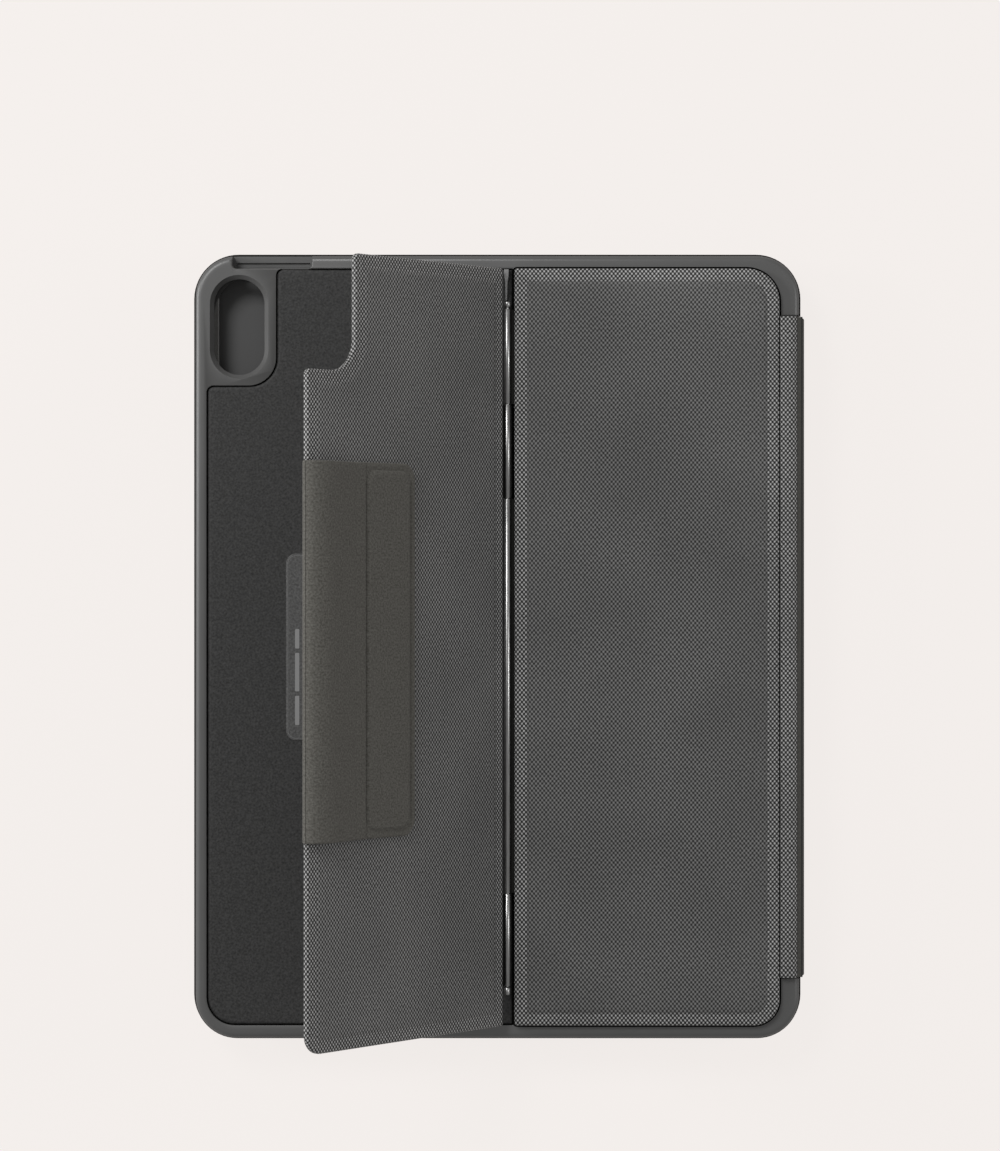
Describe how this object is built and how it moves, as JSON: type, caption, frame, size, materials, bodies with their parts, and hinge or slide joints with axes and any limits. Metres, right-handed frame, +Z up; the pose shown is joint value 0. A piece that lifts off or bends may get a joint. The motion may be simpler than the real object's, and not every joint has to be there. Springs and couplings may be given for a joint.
{
  "type": "tablet keyboard case",
  "caption": "Folio case for a large tablet: clip-in tray with a hinged kickstand and magnetic flap, joined by a fabric spine to a cover that holds a slim keyboard and trackpad.",
  "frame": {"origin": "middle of the bounding box, on the outer face of the keyboard cover, which is what the closed case lies on", "axes": "+Z up from the cover to the kickstand, +Y along the spine towards the camera end, +X towards the spine"},
  "size_m": [0.2256, 0.2904, 0.1074],
  "materials": {
    "woven_fabric": "matte",
    "soft_lining": "matte",
    "insert_skin": "matte",
    "label": "satin",
    "tray_shell": "matte",
    "stiff_board": "matte",
    "steel": "satin",
    "keyboard_plastic": "matte",
    "trackpad_plastic": "satin",
    "keycap": "matte",
    "rubber": "matte",
    "circuit": "satin",
    "pouch_cell": "satin",
    "status_light": "gloss"
  },
  "bodies": {
    "front_cover": {"cover_outer_fabric": "woven_fabric", "cover_board": "stiff_board", "cover_lining": "soft_lining", "keyboard_base": "keyboard_plastic", "keyboard_top_frame": "keyboard_plastic", "key_support_plate": "steel", "dome_membrane": "rubber", "circuit_board": "circuit", "cover_catch_plate": "steel", "battery_left": "pouch_cell", "battery_right": "pouch_cell", "charging_socket": "steel", "status_light": "status_light", "screen_bumper_front": "rubber", "screen_bumper_back": "rubber"},
    "escape_key": {"key_escape": "keycap"},
    "backspace_key": {"key_backspace": "keycap"},
    "tab_key": {"key_tab": "keycap"},
    "caps_lock_key": {"key_caps_lock": "keycap"},
    "return_key": {"key_return": "keycap"},
    "left_shift_key": {"key_shift_left": "keycap"},
    "right_shift_key": {"key_shift_right": "keycap"},
    "space_bar": {"key_space": "keycap"},
    "function_keys": {"keys_function_row": "keycap"},
    "number_keys": {"keys_number_row": "keycap"},
    "top_letter_keys": {"keys_top_letter_row": "keycap"},
    "home_letter_keys": {"keys_home_letter_row": "keycap"},
    "bottom_letter_keys": {"keys_bottom_letter_row": "keycap"},
    "left_modifier_keys": {"keys_modifiers_left": "keycap"},
    "right_modifier_keys": {"keys_modifiers_right": "keycap"},
    "trackpad": {"trackpad": "trackpad_plastic"},
    "power_switch": {"power_switch": "keycap"},
    "spine": {"spine_outer_fabric": "woven_fabric", "spine_board": "stiff_board", "spine_lining": "soft_lining"},
    "tray": {"tray_shell": "tray_shell", "tray_lining": "soft_lining", "back_insert": "insert_skin", "label_patch": "label", "fixed_panel_board": "stiff_board", "fixed_panel_fabric": "woven_fabric", "spine_wing_back": "woven_fabric", "hinge_barrel_upper": "steel", "hinge_barrel_middle": "steel", "hinge_pin": "steel", "hinge_cap_upper": "steel", "hinge_cap_lower": "steel"},
    "kickstand": {"kickstand_fabric": "woven_fabric", "kickstand_board": "stiff_board", "kickstand_catch_plate": "steel", "kickstand_lining": "soft_lining", "hinge_leaf_upper": "steel", "hinge_leaf_lower": "steel"},
    "flap_link": {"flap_link": "soft_lining"},
    "flap_strap": {"flap_strap_skin": "woven_fabric", "flap_strap_stiffener": "stiff_board", "flap_strap_lining": "soft_lining"},
    "flap_tab": {"flap_tab_skin": "woven_fabric", "flap_tab_magnet": "steel", "flap_tab_lining": "soft_lining"}
  },
  "joints": [
    {"name": "spine_to_cover_fold", "type": "hinge", "parent": "front_cover", "child": "spine", "pos_m": [0.1118, 0, 0.001], "axis": [0, 1, 0], "range_deg": [0, 90]},
    {"name": "spine_to_tray_fold", "type": "hinge", "parent": "spine", "child": "tray", "pos_m": [0.1118, 0, 0.023], "axis": [0, 1, 0], "range_deg": [0, 90]},
    {"name": "kickstand_hinge", "type": "hinge", "parent": "tray", "child": "kickstand", "pos_m": [0.00325, 0, 0.0234], "axis": [0, -1, 0], "range_deg": [-85, 50]},
    {"name": "flap_fold_at_edge", "type": "hinge", "parent": "kickstand", "child": "flap_link", "pos_m": [-0.06719, 0, 0.10704], "axis": [0, -1, 0], "range_deg": [0, 137]},
    {"name": "flap_fold_at_strap", "type": "hinge", "parent": "flap_link", "child": "flap_strap", "pos_m": [-0.05949, 0, 0.10609], "axis": [0, -1, 0], "range_deg": [0, 140.8]},
    {"name": "flap_fold_at_tab", "type": "hinge", "parent": "flap_strap", "child": "flap_tab", "pos_m": [-0.04647, 0, 0.08546], "axis": [0, -1, 0], "range_deg": [0, 82.3]},
    {"name": "escape_key_travel", "type": "slide", "parent": "front_cover", "child": "escape_key", "axis": [0, 0, -1], "range_m": [0, 0.0012], "stiffness_N_per_m": 500, "springref_m": -0.001},
    {"name": "backspace_key_travel", "type": "slide", "parent": "front_cover", "child": "backspace_key", "axis": [0, 0, -1], "range_m": [0, 0.0012], "stiffness_N_per_m": 500, "springref_m": -0.001},
    {"name": "tab_key_travel", "type": "slide", "parent": "front_cover", "child": "tab_key", "axis": [0, 0, -1], "range_m": [0, 0.0012], "stiffness_N_per_m": 500, "springref_m": -0.001},
    {"name": "caps_lock_key_travel", "type": "slide", "parent": "front_cover", "child": "caps_lock_key", "axis": [0, 0, -1], "range_m": [0, 0.0012], "stiffness_N_per_m": 500, "springref_m": -0.001},
    {"name": "return_key_travel", "type": "slide", "parent": "front_cover", "child": "return_key", "axis": [0, 0, -1], "range_m": [0, 0.0012], "stiffness_N_per_m": 500, "springref_m": -0.001},
    {"name": "left_shift_key_travel", "type": "slide", "parent": "front_cover", "child": "left_shift_key", "axis": [0, 0, -1], "range_m": [0, 0.0012], "stiffness_N_per_m": 500, "springref_m": -0.001},
    {"name": "right_shift_key_travel", "type": "slide", "parent": "front_cover", "child": "right_shift_key", "axis": [0, 0, -1], "range_m": [0, 0.0012], "stiffness_N_per_m": 500, "springref_m": -0.001},
    {"name": "space_bar_travel", "type": "slide", "parent": "front_cover", "child": "space_bar", "axis": [0, 0, -1], "range_m": [0, 0.0012], "stiffness_N_per_m": 500, "springref_m": -0.001},
    {"name": "function_keys_travel", "type": "slide", "parent": "front_cover", "child": "function_keys", "axis": [0, 0, -1], "range_m": [0, 0.0012], "stiffness_N_per_m": 500, "springref_m": -0.001},
    {"name": "number_keys_travel", "type": "slide", "parent": "front_cover", "child": "number_keys", "axis": [0, 0, -1], "range_m": [0, 0.0012], "stiffness_N_per_m": 500, "springref_m": -0.001},
    {"name": "top_letter_keys_travel", "type": "slide", "parent": "front_cover", "child": "top_letter_keys", "axis": [0, 0, -1], "range_m": [0, 0.0012], "stiffness_N_per_m": 500, "springref_m": -0.001},
    {"name": "home_letter_keys_travel", "type": "slide", "parent": "front_cover", "child": "home_letter_keys", "axis": [0, 0, -1], "range_m": [0, 0.0012], "stiffness_N_per_m": 500, "springref_m": -0.001},
    {"name": "bottom_letter_keys_travel", "type": "slide", "parent": "front_cover", "child": "bottom_letter_keys", "axis": [0, 0, -1], "range_m": [0, 0.0012], "stiffness_N_per_m": 500, "springref_m": -0.001},
    {"name": "left_modifier_keys_travel", "type": "slide", "parent": "front_cover", "child": "left_modifier_keys", "axis": [0, 0, -1], "range_m": [0, 0.0012], "stiffness_N_per_m": 500, "springref_m": -0.001},
    {"name": "right_modifier_keys_travel", "type": "slide", "parent": "front_cover", "child": "right_modifier_keys", "axis": [0, 0, -1], "range_m": [0, 0.0012], "stiffness_N_per_m": 500, "springref_m": -0.001},
    {"name": "trackpad_click", "type": "slide", "parent": "front_cover", "child": "trackpad", "axis": [0, 0, -1], "range_m": [0, 0.0003], "stiffness_N_per_m": 2500, "springref_m": -0.0003},
    {"name": "power_switch_slide", "type": "slide", "parent": "front_cover", "child": "power_switch", "axis": [1, 0, 0], "range_m": [0, 0.002]}
  ]
}
